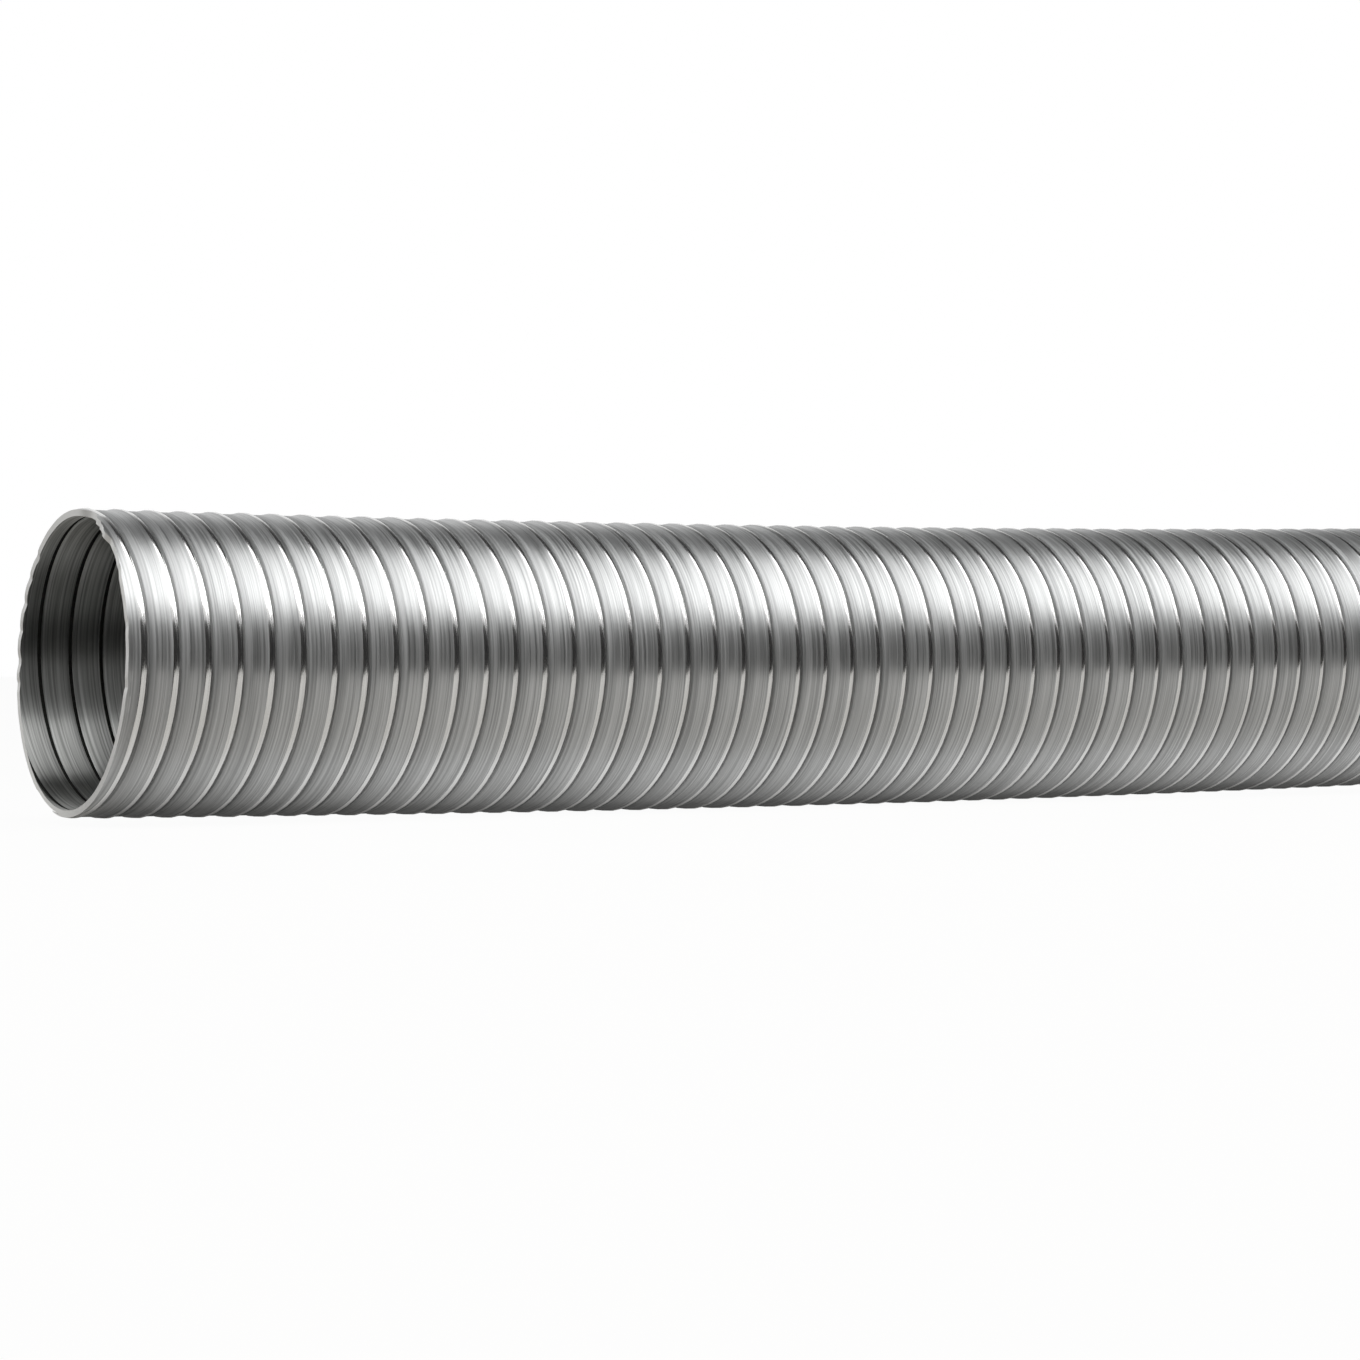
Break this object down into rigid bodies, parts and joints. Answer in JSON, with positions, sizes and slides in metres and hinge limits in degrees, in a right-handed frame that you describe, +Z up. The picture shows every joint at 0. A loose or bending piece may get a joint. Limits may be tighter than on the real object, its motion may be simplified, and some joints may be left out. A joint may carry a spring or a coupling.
{
  "type": "flexible aluminium duct",
  "caption": "Semi-rigid round duct wound from an aluminium strip with folded helical edges, open at both ends.",
  "frame": {"origin": "centre of the duct's resting line, on the surface it lies on", "axes": "+X along the duct's axis from the mouth that the picture shows to the far end, +Z up"},
  "size_m": [0.6, 0.107, 0.1067],
  "materials": {
    "aluminium_strip": "bright rolled strip with fine streaks along the strip"
  },
  "bodies": {
    "root": {"duct": "aluminium_strip"}
  },
  "joints": []
}
